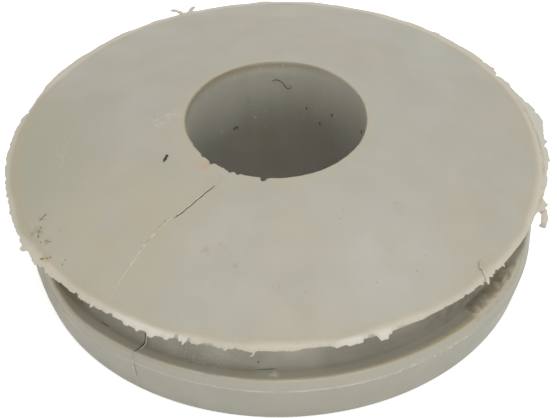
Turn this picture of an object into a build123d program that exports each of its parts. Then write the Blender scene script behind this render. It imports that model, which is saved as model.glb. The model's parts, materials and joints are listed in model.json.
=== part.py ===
from build123d import *

import os

# A one-piece moulded rubber grommet for leading a cable through a sheet panel.
#
# It is a ring with a wide domed head, a groove that takes the panel's edge, and a foot that tapers
# downwards so that it pushes through the panel's hole. The bore runs along Z and the foot stands on
# z = 0. A bearing is measured round Z from -Y, positive towards +X. Sizes are in millimetres.

# Panel hole that the grommet fits, and the cable's way through it
panel_hole_diameter = 26.5
groove_width = 2.3
bore_diameter = 10.0

# Head: a domed flange with a thin upright edge
head_overlap = 1.75
head_edge_thickness = 0.5
dome_rise = 3.45
dome_crown = 0.35

# Foot: an upright lip above the mould's parting line and a tapered skirt below it
foot_overlap = 1.2
foot_thickness = 3.5
lip_height = 0.85
lip_draft = 0.05
skirt_taper = 0.9

# How far the groove's floor falls from the foot's lip to the core
groove_dish = 0.15

# Thin flash where the mould parted, round the lower corner of the head's edge
flash_reach = 0.3
flash_thickness = 0.12

# Corner radii
groove_root_radius = 0.3
bore_rim_radius = 0.2
head_edge_radius = 0.15
skirt_corner_radius = 0.3

# Split through the foot and on up the core's wall
split_bearing = -33.8
split_width = 0.08
split_depth = 0.6

# How far a cut runs past the face that it opens, and how near a corner is to be the one meant
cut_overrun = 1.0
nearness = 0.001

# Radii and heights that follow
core_radius = panel_hole_diameter / 2
bore_radius = bore_diameter / 2
head_radius = core_radius + head_overlap
lip_radius = core_radius + foot_overlap
parting_radius = lip_radius + lip_draft
base_radius = parting_radius - skirt_taper
parting_height = foot_thickness - lip_height
underside_height = foot_thickness + groove_width
edge_height = underside_height + head_edge_thickness
overall_height = edge_height + dome_rise


def at_bearing(radius: float, bearing: float) -> Vector:
    """Point in the XY plane at a distance from the bore's axis and a bearing round it."""
    return Vector(0, -radius).rotate(Axis.Z, bearing)


def corners_at(sketch: BuildSketch, axis: Axis, position: float) -> ShapeList[Vertex]:
    """Corners of a sketch that lie at one position along one of its axes."""
    return sketch.vertices().filter_by_position(axis, position - nearness, position + nearness)


# Grommet: the whole section in one outline turned about the bore's axis, then the split
with BuildPart() as grommet:
    with BuildSketch(Plane.XZ) as section:
        with BuildLine():
            dome = SagittaArc(
                (head_radius, edge_height),
                (bore_radius, overall_height),
                -dome_crown,
            )
            Polyline(
                dome @ 1,
                (bore_radius, 0),
                (base_radius, 0),
                (parting_radius, parting_height),
                (lip_radius, foot_thickness),
                (core_radius, foot_thickness - groove_dish),
                (core_radius, underside_height),
                (head_radius + flash_reach, underside_height),
                (head_radius + flash_reach, underside_height + flash_thickness),
                (head_radius, underside_height + flash_thickness),
                dome @ 0,
            )
        make_face()
        fillet(corners_at(section, Axis.X, core_radius), radius=groove_root_radius)
        fillet(corners_at(section, Axis.X, base_radius), radius=skirt_corner_radius)
        fillet(corners_at(section, Axis.Y, edge_height), radius=head_edge_radius)
        fillet(corners_at(section, Axis.Y, overall_height), radius=bore_rim_radius)
    revolve(axis=Axis.Z)
    split_length = lip_radius - core_radius + split_depth + cut_overrun
    split_centre = at_bearing(core_radius - split_depth + split_length / 2, split_bearing)
    with BuildSketch(Plane(origin=split_centre, x_dir=split_centre)):
        Rectangle(split_length, split_width)
    extrude(amount=underside_height, mode=Mode.SUBTRACT)
grommet.part.label = "grommet"

os.makedirs("parts", exist_ok=True)
export_step(grommet.part, "parts/grommet.step")
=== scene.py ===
"""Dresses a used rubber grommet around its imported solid.

The moulding is turned from its section, then given the set, wear, nicks and cracks of a used one.
Torn flash rings its head, and lint and grit lie on it. Sizes are in millimetres and angles in
degrees until a mesh is made. A bearing is measured round Z from -Y, positive towards +X, and the
foot stands on z = 0.
"""

import json
import logging
import math
from collections.abc import Callable
from dataclasses import dataclass
from enum import Enum

import bmesh
import bpy
import numpy as np
from mathutils import Matrix, Vector, noise


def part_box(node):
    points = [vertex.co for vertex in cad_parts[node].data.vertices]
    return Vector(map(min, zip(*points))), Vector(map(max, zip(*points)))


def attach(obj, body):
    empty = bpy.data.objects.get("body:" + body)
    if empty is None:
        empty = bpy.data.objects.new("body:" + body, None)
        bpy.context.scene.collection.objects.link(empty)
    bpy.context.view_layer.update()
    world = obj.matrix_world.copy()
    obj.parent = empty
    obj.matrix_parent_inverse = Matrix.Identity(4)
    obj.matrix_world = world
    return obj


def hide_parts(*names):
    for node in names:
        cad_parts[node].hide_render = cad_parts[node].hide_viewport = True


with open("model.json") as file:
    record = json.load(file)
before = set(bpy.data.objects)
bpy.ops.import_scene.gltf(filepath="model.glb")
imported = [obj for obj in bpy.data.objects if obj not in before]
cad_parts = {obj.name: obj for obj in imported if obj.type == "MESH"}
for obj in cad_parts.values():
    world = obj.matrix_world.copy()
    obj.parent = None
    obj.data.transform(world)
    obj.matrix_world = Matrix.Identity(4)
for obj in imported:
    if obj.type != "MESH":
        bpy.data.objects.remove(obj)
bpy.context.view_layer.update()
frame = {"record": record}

log = logging.getLogger("grommet")

MM = 0.001
NODE = "grommet"
BODY = "root"

# How far the bore is off the middle of the head, in millimetres
BORE_SHIFT = 0.1

# Points closer together than this, in metres, are the same point
TOUCHING = 0.001 * MM

Piece = bpy.types.Object
Material = bpy.types.Material
Socket = bpy.types.NodeSocket


# ---------------------------------------------------------------- places and sums


def at(radius: float, bearing: float, height: float) -> Vector:
    """Gives a point from its place round the bore's axis.

    Args:
        radius: Distance from the axis in millimetres.
        bearing: Degrees round the axis from -Y, positive towards +X.
        height: Height above the foot in millimetres.

    Returns:
        The point in metres.
    """
    turn = math.radians(bearing)
    return Vector((radius * math.sin(turn), -radius * math.cos(turn), height)) * MM


def smooth(low: float, high: float, value: np.ndarray | float) -> np.ndarray | float:
    """Gives 0 below low, 1 above high and an even ramp with soft ends between them.

    Args:
        low: Where the ramp starts.
        high: Where the ramp ends, which may be below low for a falling ramp.
        value: The number or numbers to place on the ramp.

    Returns:
        Shares from 0 to 1.
    """
    share = np.clip((value - low) / (high - low), 0.0, 1.0)
    return share * share * (3.0 - 2.0 * share)


def hump(centre: float, half_width: float, value: np.ndarray) -> np.ndarray:
    """Gives 1 at a centre and 0 from half a width away, with soft sides."""
    return smooth(half_width, 0.0, np.abs(value - centre))


def turn_apart(bearing: np.ndarray | float, centre: float) -> np.ndarray | float:
    """Gives the turn from a centre to a bearing, from -180 to 180 degrees."""
    return (bearing - centre + 180.0) % 360.0 - 180.0


def grain(points: np.ndarray, size: float, seed: float) -> np.ndarray:
    """Gives smooth noise over points.

    Args:
        points: An array of points in millimetres.
        size: Rough size in millimetres of one lump of the noise.
        seed: Any number, which picks a different noise.

    Returns:
        A value from about -1 to 1 for each point.
    """
    shift = Vector((seed * 7.31, seed * 3.17, seed * 5.77))
    return np.array([noise.noise(Vector(p) / size + shift) for p in points])


def round_grain(bearing: np.ndarray, radius: float, size: float, seed: float) -> np.ndarray:
    """Gives noise along a circle that meets itself after one turn.

    Args:
        bearing: Bearings in degrees.
        radius: The circle's radius in millimetres.
        size: Rough length in millimetres of one lump of the noise.
        seed: Any number, which picks a different noise.

    Returns:
        A value from about -1 to 1 for each bearing.
    """
    turn = np.radians(bearing)
    ring = np.stack([radius * np.sin(turn), -radius * np.cos(turn), np.zeros_like(turn)], axis=1)
    return grain(ring, size, seed)


@dataclass(frozen=True)
class Sizes:
    """The moulding's own sizes in millimetres.

    Attributes:
        bore: The bore's radius.
        head: The radius of the head's edge.
        rim: How high the bore's rim is, before it is rounded.
        edge: How high the head's edge is.
        underside: How high the head's underside is.
        core: The radius of the groove's root.
        floor: How high the groove's lower side is at the root.
        lip: The radius of the foot's lip.
        lip_height: How high the lip is.
        parting: The radius of the mould's parting line on the skirt.
        parting_height: How high the parting line is.
        base: The radius of the foot's bottom.
        crown: How far the dome bulges above a straight cone.
        roll: The radius where the dome rolls over into the head's edge.
        under_edge: The radius where the head's underside starts.
    """

    bore: float
    head: float
    rim: float
    edge: float = 6.3
    underside: float = 5.8
    core: float = 13.25
    floor: float = 3.35
    lip: float = 14.45
    lip_height: float = 3.56
    parting: float = 14.5
    parting_height: float = 2.82
    base: float = 13.6
    crown: float = 0.35
    roll: float = 14.8
    under_edge: float = 14.45

    @classmethod
    def from_frame(cls, flash_reach: float = 0.3, rim_rounding: float = 0.045) -> "Sizes":
        """Reads the head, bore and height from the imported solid.

        Args:
            flash_reach: How far the solid's flash stands out of its head.
            rim_rounding: How much the rounding of the bore's rim takes off the height.

        Returns:
            The sizes of the moulding.
        """
        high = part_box(NODE)[1]
        mounts = {mount["name"]: mount for mount in frame["record"]["mounts"]}
        return cls(
            bore=mounts["cable_bore"]["dims"]["r_mm"],
            head=high.x / MM - flash_reach,
            rim=high.z / MM + rim_rounding,
        )

    def dome(self, radius: float) -> float:
        """Gives the dome's height at a radius.

        Args:
            radius: Distance from the bore's axis in millimetres.

        Returns:
            The height in millimetres.
        """
        share = (self.head - radius) / (self.head - self.bore)
        chord = self.edge + (self.rim - self.edge) * share
        return chord + 4.0 * self.crown * share * (1.0 - share)

    def edge_wave(self, bearing: np.ndarray) -> np.ndarray:
        """Gives how far the head's edge waves up or down at each bearing, in millimetres."""
        return 0.06 * round_grain(bearing, self.head, 5.0, 3.0)

    def on_dome(self, radius: float, bearing: float, lift: float = 0.0) -> Vector:
        """Gives a point on the dome, or lifted off it by a length in millimetres."""
        return at(radius, bearing, self.dome(radius) + lift)


# ---------------------------------------------------------------- modelling by hand


def work_on(piece: Piece) -> None:
    """Makes one piece the only one selected, and the active one.

    Args:
        piece: The piece to work on.
    """
    bpy.ops.object.select_all(action="DESELECT")
    piece.select_set(True)
    bpy.context.view_layer.objects.active = piece


def pick(piece: Piece, wanted: Callable[[Vector], bool]) -> None:
    """Selects, in edit mode, only the vertices that a test wants.

    Args:
        piece: The mesh object being edited.
        wanted: Says of a vertex's place whether it is to be selected.
    """
    bpy.ops.mesh.select_all(action="DESELECT")
    mesh = bmesh.from_edit_mesh(piece.data)
    for vertex in mesh.verts:
        if wanted(vertex.co):
            vertex.select_set(True)
    mesh.select_flush_mode()
    bmesh.update_edit_mesh(piece.data)


def pick_edges(piece: Piece, wanted: Callable[[Vector, Vector], bool]) -> int:
    """Selects, in edit mode, only the edges that a test wants.

    Args:
        piece: The mesh object being edited.
        wanted: Says of an edge's two ends whether it is to be selected.

    Returns:
        How many edges are selected.
    """
    bpy.ops.mesh.select_mode(type="EDGE")
    bpy.ops.mesh.select_all(action="DESELECT")
    mesh = bmesh.from_edit_mesh(piece.data)
    found = [edge for edge in mesh.edges if wanted(edge.verts[0].co, edge.verts[1].co)]
    for edge in found:
        edge.select_set(True)
    bmesh.update_edit_mesh(piece.data)
    return len(found)


def places(piece: Piece) -> np.ndarray:
    """Gives the places of a piece's vertices.

    Args:
        piece: The mesh object.

    Returns:
        The places in millimetres, one row each.
    """
    flat = np.zeros(len(piece.data.vertices) * 3)
    piece.data.vertices.foreach_get("co", flat)
    return flat.reshape(-1, 3) / MM


def move_to(piece: Piece, points: np.ndarray) -> None:
    """Puts a piece's vertices at new places, given in millimetres."""
    piece.data.vertices.foreach_set("co", (points * MM).ravel())
    piece.data.update()


def apply(piece: Piece, kind: str, **settings: object) -> None:
    """Adds a modifier to a piece, sets it and applies it.

    Args:
        piece: The mesh object.
        kind: Blender's name for the kind of modifier.
        **settings: The modifier's own settings.
    """
    work_on(piece)
    modifier = piece.modifiers.new(kind.lower(), kind)
    for setting, value in settings.items():
        setattr(modifier, setting, value)
    bpy.ops.object.modifier_apply(modifier=modifier.name)


def hand_in(piece: Piece, finish: Material, smooth_below: float = 50.0) -> None:
    """Gives a finished piece its material and shading, and ties it to the solid.

    Args:
        piece: The mesh object.
        finish: Its material.
        smooth_below: Edges that turn less than this many degrees are shaded smooth.
    """
    work_on(piece)
    bpy.ops.object.shade_smooth_by_angle(angle=math.radians(smooth_below))
    piece.data.materials.clear()
    piece.data.materials.append(finish)
    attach(piece, BODY)
    log.info("%s: %d faces", piece.name, len(piece.data.polygons))


@dataclass(frozen=True)
class Strand:
    """A thin tapering piece laid along a line, such as a fibre, a torn tab or a crack's blade.

    Attributes:
        name: The piece's name.
        line: Points in metres that it passes through.
        width: Its size across, level with the ground, in millimetres.
        depth: Its size at right angles to its line and its width, in millimetres.
        sides: How many sides its section has. Four make a diamond.
        steps: How many lengths it is divided into.
        ends: The shares of its section that are left at its start and at its end.
        fade: The share of its length over which each end tapers.
        wander: How far noise moves it sideways, in millimetres.
        rough: How much noise changes its section, as a share.
        lump: Rough size in millimetres of that noise.
        seed: Picks its noise.
    """

    name: str
    line: tuple[Vector, ...]
    width: float
    depth: float
    sides: int = 6
    steps: int = 60
    ends: tuple[float, float] = (0.1, 0.1)
    fade: float = 0.25
    wander: float = 0.0
    rough: float = 0.0
    lump: float = 0.4
    seed: float = 1.0

    def spine(self) -> np.ndarray:
        """Works out the smooth line through the points.

        Returns:
            A place in millimetres for each step, one row each.
        """
        given = np.array([tuple(p) for p in self.line]) / MM
        ends = (2.0 * given[:1] - given[1:2], 2.0 * given[-1:] - given[-2:-1])
        knots = np.concatenate([ends[0], given, ends[1]])
        stretches = len(given) - 1
        rows = []
        for step in range(self.steps + 1):
            place = step / self.steps * stretches
            first = min(int(place), stretches - 1)
            t = place - first
            a, b, c, d = knots[first:first + 4]
            bend = (2.0 * a - 5.0 * b + 4.0 * c - d) * t * t + (3.0 * b - a - 3.0 * c + d) * t ** 3
            rows.append(0.5 * (2.0 * b + (c - a) * t + bend))
        return np.array(rows)

    def make(self) -> Piece:
        """Makes a prism, divides it and lays it along the line.

        Returns:
            The finished mesh object, closed, with no material yet.
        """
        bpy.ops.object.select_all(action="DESELECT")
        bpy.ops.mesh.primitive_cylinder_add(vertices=self.sides, radius=0.5, depth=1.0)
        piece = bpy.context.object
        piece.name = self.name
        bpy.ops.object.mode_set(mode="EDIT")
        pick_edges(piece, lambda a, b: abs(a.z - b.z) > 0.5)
        bpy.ops.mesh.subdivide(number_cuts=self.steps - 1)
        bpy.ops.object.mode_set(mode="OBJECT")
        rest = places(piece) * MM
        share = rest[:, 2] + 0.5
        step = np.rint(share * self.steps).astype(int)
        spine = self.spine()
        along = np.gradient(spine, axis=0)
        along /= np.linalg.norm(along, axis=1, keepdims=True)
        outward = spine * (1.0, 1.0, 0.0)
        outward /= np.linalg.norm(outward, axis=1, keepdims=True)
        run = along * (1.0, 1.0, 0.0) + 0.05 * outward
        side = np.cross(run, (0.0, 0.0, 1.0))
        side /= np.linalg.norm(side, axis=1, keepdims=True)
        rise = np.cross(side, along)
        rise /= np.linalg.norm(rise, axis=1, keepdims=True)
        reach = share / self.fade
        back = (1.0 - share) / self.fade
        size = self.ends[0] + (1.0 - self.ends[0]) * smooth(0.0, 1.0, reach)
        size *= self.ends[1] + (1.0 - self.ends[1]) * smooth(0.0, 1.0, back)
        size *= (1.0 + self.rough * grain(spine, self.lump, self.seed))[step]
        stray = self.wander * grain(spine, self.lump, self.seed + 20.0)
        centre = spine + side * stray[:, None]
        move_to(
            piece,
            centre[step]
            + side[step] * (rest[:, 0] * size * self.width)[:, None]
            + rise[step] * (rest[:, 1] * size * self.depth)[:, None],
        )
        bpy.ops.object.mode_set(mode="EDIT")
        bpy.ops.mesh.select_all(action="SELECT")
        bpy.ops.mesh.normals_make_consistent(inside=False)
        bpy.ops.object.mode_set(mode="OBJECT")
        return piece


# ---------------------------------------------------------------- finishes


def seen(red: float, green: float, blue: float) -> tuple[float, float, float, float]:
    """Turns a colour as it looks on a screen, from 0 to 255, into one for a shader."""
    return tuple(((c / 255.0 + 0.055) / 1.055) ** 2.4 for c in (red, green, blue)) + (1.0,)


class Paint:
    """Builds one material's nodes, and keeps its shader and the place being shaded."""

    def __init__(self, name: str) -> None:
        """Starts a material.

        Args:
            name: The material's name.
        """
        self.material = bpy.data.materials.new(name)
        self.material.use_nodes = True
        self.nodes = self.material.node_tree.nodes
        self.links = self.material.node_tree.links
        self.shader = self.nodes["Principled BSDF"]
        self.place = self.nodes.new("ShaderNodeTexCoord").outputs["Object"]

    def node(self, kind: str, given: dict, **settings: object) -> bpy.types.Node:
        """Adds a node, sets it, and sets or links its inputs.

        Args:
            kind: Blender's name for the kind of node, without its common start.
            given: Each input's name or number, and its value or the socket that feeds it.
            **settings: The node's own settings.

        Returns:
            The new node.
        """
        made = self.nodes.new("ShaderNode" + kind)
        for setting, value in settings.items():
            setattr(made, setting, value)
        for key, value in given.items():
            self.feed(made.inputs[key], value)
        return made

    def feed(self, socket: Socket, value: object) -> None:
        """Sets an input, or links what feeds it.

        Args:
            socket: The input.
            value: Its value, or the socket that feeds it.
        """
        if isinstance(value, Socket):
            self.links.new(value, socket)
        else:
            socket.default_value = value

    def maths(self, operation: str, a: object, b: object = 0.0) -> Socket:
        """Joins two values, each a number or a socket, by one of Blender's operations."""
        return self.node("Math", {0: a, 1: b}, operation=operation).outputs[0]

    def times(self, *values: object) -> Socket:
        """Multiplies values together.

        Args:
            *values: Numbers and sockets, the first of them a socket.

        Returns:
            The product's socket.
        """
        product = values[0]
        for value in values[1:]:
            product = self.maths("MULTIPLY", product, value)
        return product

    def apart(self, value: object, middle: float) -> Socket:
        """Gives how far a value is from a middle, either way."""
        return self.maths("ABSOLUTE", self.maths("SUBTRACT", value, middle))

    def ramp(self, value: object, low: float, high: float, top: float = 1.0) -> Socket:
        """Gives 0 at low and top at high, with soft ends, for a value or socket."""
        given = {"Value": value, "From Min": low, "From Max": high, "To Max": top}
        return self.node("MapRange", given, interpolation_type="SMOOTHSTEP").outputs["Result"]

    def noise(self, size: float, detail: float, stretch: tuple = (1.0, 1.0, 1.0)) -> Socket:
        """Gives smooth noise about 0.5.

        Args:
            size: Rough size in millimetres of one lump.
            detail: How many finer layers it holds.
            stretch: How much longer a lump is along each axis.

        Returns:
            The noise's value socket.
        """
        scale = [1.0 / (size * MM * s) for s in stretch]
        mapped = self.node("Mapping", {"Vector": self.place, "Scale": scale}).outputs[0]
        given = {"Vector": mapped, "Scale": 1.0, "Detail": detail}
        return self.node("TexNoise", given).outputs[0]

    def patches(self, size: float, detail: float, low: float, high: float, top: float = 1.0) -> Socket:
        """Gives patches of noise, 0 where it is below low and top where it is above high."""
        return self.ramp(self.noise(size, detail), low, high, top)

    def near(self, spot: Vector, reach: float, core: float = 0.0) -> Socket:
        """Gives 1 close to a point and 0 from a reach away, in millimetres."""
        apart = self.node("VectorMath", {0: self.place, 1: spot}, operation="DISTANCE").outputs["Value"]
        return self.ramp(apart, reach * MM, core * MM)

    def mix(self, share: object, a: object, b: object, blend: str = "MIX") -> Socket:
        """Mixes two colours.

        Args:
            share: How much of the second one shows, as a number or a socket.
            a: The first colour, or the socket that gives it.
            b: The second colour, or the socket that gives it.
            blend: Blender's name for the way that they are mixed.

        Returns:
            The mixed colour's socket.
        """
        made = self.nodes.new("ShaderNodeMix")
        made.data_type = "RGBA"
        made.blend_type = blend
        for key, value in {"Factor": share, "A": a, "B": b}.items():
            self.feed([s for s in made.inputs if s.name == key and s.enabled][0], value)
        return [s for s in made.outputs if s.enabled][0]

    def cylindrical(self, middle: float = 0.0) -> tuple[Socket, Socket]:
        """Gives the radius and the height of the place being shaded, in millimetres.

        Args:
            middle: How far the middle that the radius is measured from lies towards +X.

        Returns:
            The sockets of the radius and the height.
        """
        split = self.node("SeparateXYZ", {0: self.place}).outputs
        across = self.maths("SUBTRACT", split[0], middle * MM)
        flat = self.node("CombineXYZ", {0: across, 1: split[1], 2: 0.0}).outputs[0]
        length = self.node("VectorMath", {0: flat}, operation="LENGTH").outputs["Value"]
        return self.times(length, 1.0 / MM), self.times(split[2], 1.0 / MM)

    def bump(self, value: Socket, strength: float, depth: float) -> None:
        """Raises the surface by a value, on top of any bump it has already.

        Args:
            value: The height's socket, from 0 to 1.
            strength: How strongly it shows.
            depth: The height in millimetres that 1 stands for.
        """
        given = {"Height": value, "Strength": strength, "Distance": depth * MM}
        before = self.shader.inputs["Normal"].links
        if before:
            given["Normal"] = before[0].from_socket
        made = self.node("Bump", given)
        self.links.new(made.outputs[0], self.shader.inputs["Normal"])

    def colour(self, value: Socket) -> None:
        """Feeds the shader's colour."""
        self.links.new(value, self.shader.inputs["Base Color"])

    def roughness(self, value: Socket) -> None:
        """Feeds the shader's roughness."""
        self.links.new(value, self.shader.inputs["Roughness"])


@dataclass(frozen=True)
class SurfaceMark:
    """A mark on the moulding's surface: a stain left by use, or a broad painted sheen.

    Attributes:
        spot: Its middle, in metres.
        reach: How far it spreads, in millimetres.
        colour: Its colour as seen.
        strength: How much of it shows where it is thickest.
        lump: Rough size in millimetres of the noise that breaks it up.
        cover: The share of its area that it covers, from 0 to 1.
        soft: How soft the edges inside it are, from 0 to 1.
    """

    spot: Vector
    reach: float
    colour: tuple[float, float, float]
    strength: float
    lump: float
    cover: float = 0.5
    soft: float = 0.1


class AgedRubber:
    """Warm grey moulded rubber: mottled, cream where it is thin and dirty where it was handled, with shade,
    light and sheen painted into its colour in places.
    """

    GREENISH = (183, 181, 167)
    PINKISH = (184, 178, 161)
    BEIGE = (185, 176, 152)
    OLIVE = (172, 170, 149)
    CREAM = (208, 200, 183)
    FOOT = (177, 174, 160)
    GROOVE_DIRT_AND_SHADE = (152, 147, 130)
    PALE_LINE = (206, 202, 184)
    OCHRE = (180, 160, 124)
    LIP_CREAM = (204, 197, 172)
    CLOUD = (166, 163, 148)
    BORE_SHADE = (0.60, 0.60, 0.59, 1.0)

    def __init__(self, sizes: Sizes) -> None:
        """Starts the material and finds where on the moulding the shaded place lies.

        Args:
            sizes: The moulding's sizes, which place the finish's parts.
        """
        self.sizes = sizes
        self.paint = Paint("aged_rubber")
        self.radius, self.height = self.paint.cylindrical()
        self.from_bore = self.paint.cylindrical(BORE_SHIFT)[0]
        self.on_head = self.by_height(sizes.underside - 0.15, sizes.underside + 0.05)
        self.below = self.by_height(sizes.lip_height + 0.1, sizes.lip_height - 0.05)
        self.colour = self.ground()

    def by_height(self, low: float, high: float, top: float = 1.0) -> Socket:
        """Gives 0 at one height and top at another, both in millimetres."""
        return self.paint.ramp(self.height, low, high, top)

    def by_radius(self, low: float, high: float, top: float = 1.0) -> Socket:
        """Gives 0 at one radius of the head and top at another, both in millimetres."""
        return self.paint.ramp(self.radius, low, high, top)

    def by_bore(self, low: float, high: float) -> Socket:
        """Gives 0 at one distance out from the bore's wall and 1 at another, both in millimetres."""
        return self.paint.ramp(self.from_bore, self.sizes.bore + low, self.sizes.bore + high)

    def cover(self, colour: object, *shares: object) -> None:
        """Lays a colour over those laid before it.

        Args:
            colour: The colour as seen, or the socket that gives it.
            *shares: Numbers and sockets whose product is how much of it shows.
        """
        over = seen(*colour) if isinstance(colour, tuple) else colour
        self.colour = self.paint.mix(self.paint.times(*shares), self.colour, over)

    def build(self) -> Material:
        """Lays all the colours in order, then the bump and the gloss.

        Returns:
            The finished material.
        """
        self.warm_dome()
        self.rim()
        self.foot()
        self.groove()
        self.bore_wall()
        self.parting_line()
        self.lip_line()
        self.thin_edge()
        self.torn_edge()
        for surface_mark in self.marks_and_sheens():
            self.mark(surface_mark)
        self.speckle()
        self.paint.colour(self.colour)
        self.surface()
        return self.paint.material

    def ground(self) -> Socket:
        """Mixes the rubber's two greys in broad patches, with darker fine ones.

        Returns:
            The colour's socket.
        """
        paint = self.paint
        broad = paint.mix(paint.patches(6.0, 3.0, 0.36, 0.64), seen(*self.GREENISH), seen(*self.PINKISH))
        return paint.mix(paint.patches(2.2, 3.0, 0.3, 0.7, 0.22), broad, seen(*self.CLOUD))

    def warm_dome(self) -> None:
        """Warms the dome round its crack and at its left."""
        paint = self.paint
        patch = paint.near(self.sizes.on_dome(10.5, -52.0), 6.5, 1.0)
        self.cover(self.BEIGE, patch, paint.patches(2.5, 3.0, 0.3, 0.62, 0.75), self.on_head)
        self.cover(self.OLIVE, paint.near(self.sizes.on_dome(16.0, -92.0), 9.0, 2.5), 0.9)

    def rim(self) -> None:
        """Yellows the bore's rim, and darkens a stretch of its rounding at the back left with painted brown
        shade.
        """
        paint, s = self.paint, self.sizes
        high = self.by_height(s.rim - 0.45, s.rim - 0.1)
        self.cover((190, 177, 148), self.by_bore(0.9, 0.15), high, paint.patches(1.4, 2.0, 0.3, 0.6, 0.4))
        # Painted shade: a brown band on the rim's rounding at the back left, darker than the light leaves
        # that up-facing rounding.
        stretch = paint.near(at(s.bore, -140.0, s.rim), 8.0, 4.0)
        high = self.by_height(s.rim - 0.7, s.rim - 0.2)
        self.cover((154, 143, 119), self.by_bore(0.16, 0.08), high, stretch)

    def foot(self) -> None:
        """Makes the foot greyer than the head, and warmer at its left."""
        self.cover(self.FOOT, self.below, 0.75)
        self.cover((172, 167, 147), self.paint.near(at(14.0, -76.0, 2.0), 8.0, 3.0), self.below, 0.6)

    def groove(self) -> None:
        """Dirties the groove, most of all at one side, chafes its lip there and dusts its root; painted shade
        darkens the groove all over, towards its floor and in one patch.
        """
        paint, s = self.paint, self.sizes
        inside = paint.times(
            self.by_height(s.floor - 0.1, s.floor + 0.05),
            self.by_height(s.underside + 0.05, s.underside - 0.1),
            self.by_radius(s.lip + 0.02, s.lip - 0.2),
            self.by_radius(s.core - 0.3, s.core - 0.1),
        )
        # Dirt and painted shade: the groove is darker all over, in patches.
        self.cover(self.GROOVE_DIRT_AND_SHADE, inside, paint.patches(1.6, 3.0, 0.25, 0.75, 0.6))
        filth = paint.near(at(13.8, 50.0, s.lip_height + 0.5), 5.4, 2.0)
        self.cover((126, 114, 92), filth, paint.patches(0.7, 5.0, 0.38, 0.68, 0.6), inside)
        # Painted shade: the first patch darkens the groove at the right; the second is a brown patch at its
        # left.
        for spot, reach, dirt in (
            (at(13.5, 34.0, s.floor + 0.6), 7.0, (112, 109, 97)),
            (at(13.6, -64.0, s.floor + 1.2), 4.0, (140, 126, 102)),
        ):
            self.cover(dirt, paint.near(spot, reach, reach * 0.4), inside, 0.5)
        # Painted shade: the groove darkens towards its floor.
        self.cover((132, 130, 116), inside, self.by_height(s.floor + 0.5, s.floor + 0.15, 0.35))
        chafed = paint.times(
            paint.near(at(14.3, 57.0, s.lip_height), 2.9, 2.2),
            self.by_radius(s.core + 0.4, s.core + 0.7),
            self.by_height(s.lip_height - 0.42, s.lip_height - 0.3),
        )
        rough = paint.mix(paint.patches(0.4, 4.0, 0.35, 0.65), seen(184, 176, 154), seen(146, 132, 106))
        self.cover(rough, chafed, paint.patches(0.8, 3.0, 0.3, 0.55, 0.8))
        dust = paint.near(at(13.4, -18.0, s.floor + 0.3), 2.6, 0.4)
        self.cover((222, 222, 212), dust, paint.patches(0.12, 3.0, 0.58, 0.7, 0.5), inside)

    def bore_wall(self) -> None:
        """Streaks the bore's wall, darkens it towards its foot with painted shade, paints light on its two
        side walls and lightens it at its back left.
        """
        paint, s = self.paint, self.sizes
        wall = self.by_bore(0.2, 0.1)
        streaks = paint.ramp(paint.noise(0.5, 3.0, (1.0, 1.0, 14.0)), 0.35, 0.7, 0.14)
        self.cover((164, 158, 142), wall, streaks)
        # Painted shade: the wall grows darker towards the bore's foot, deeper in the hole.
        painted_bore_shade = paint.times(wall, self.by_height(s.rim - 0.6, 4.6))
        self.colour = paint.mix(painted_bore_shade, self.colour, self.BORE_SHADE, "MULTIPLY")
        # Painted light on the bore's two side walls at bearings -112 and 112, and a paler patch at its back
        # left at -146.
        for bearing, high, reach, most in (
            (-112.0, 7.5, 4.5, 0.28),
            (112.0, 7.5, 4.5, 0.28),
            (-146.0, 6.4, 1.7, 0.2),
        ):
            self.cover((190, 188, 176), wall, paint.near(at(s.bore, bearing, high), reach, 0.5), most)
        specks = paint.patches(0.24, 1.0, 0.7, 0.75, 0.5)
        self.cover((200, 198, 186), wall, specks, self.by_height(4.4, 5.6))

    def parting_line(self) -> None:
        """Draws the pale parting line, its dots and the paler band above it."""
        paint, s = self.paint, self.sizes
        outside = self.by_radius(s.base - 0.1, s.base + 0.2)
        apart = paint.apart(self.height, s.parting_height + 0.005)
        worn = paint.near(at(14.5, 82.0, s.parting_height), 15.5, 12.0)
        kept = paint.maths("SUBTRACT", 1.0, paint.times(worn, 0.85))
        line = paint.ramp(apart, 0.065, 0.02)
        self.cover(self.PALE_LINE, line, paint.patches(1.2, 3.0, 0.25, 0.5, 0.9), kept, outside)
        dots = paint.near(at(14.6, 30.0, s.parting_height + 0.1), 5.2, 3.0)
        beside = paint.ramp(apart, 0.24, 0.08)
        self.cover((214, 211, 196), dots, beside, paint.patches(0.16, 2.0, 0.52, 0.6, 0.95), outside)
        band = self.by_height(s.parting_height, s.parting_height + 0.06)
        self.cover((186, 182, 166), band, self.below, outside, 0.65)

    def lip_line(self) -> None:
        """Draws the cream line along the foot's lip, which is ochre in two stretches."""
        paint, s = self.paint, self.sizes
        drawn_in = paint.times(paint.near(at(14.0, -76.0, s.lip_height), 7.5, 1.5), 0.7)
        lip = paint.times(
            paint.ramp(paint.apart(self.height, s.lip_height - 0.02), 0.09, 0.03),
            paint.ramp(paint.maths("ADD", self.radius, drawn_in), s.lip - 0.3, s.lip - 0.08),
            paint.patches(1.2, 3.0, 0.3, 0.5, 0.85),
        )
        self.cover(self.LIP_CREAM, lip)
        for bearing, share in ((42.0, 0.6), (-46.0, 0.4)):
            self.cover(self.OCHRE, lip, paint.near(at(14.5, bearing, s.lip_height), 7.5, 3.0), share)

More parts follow.
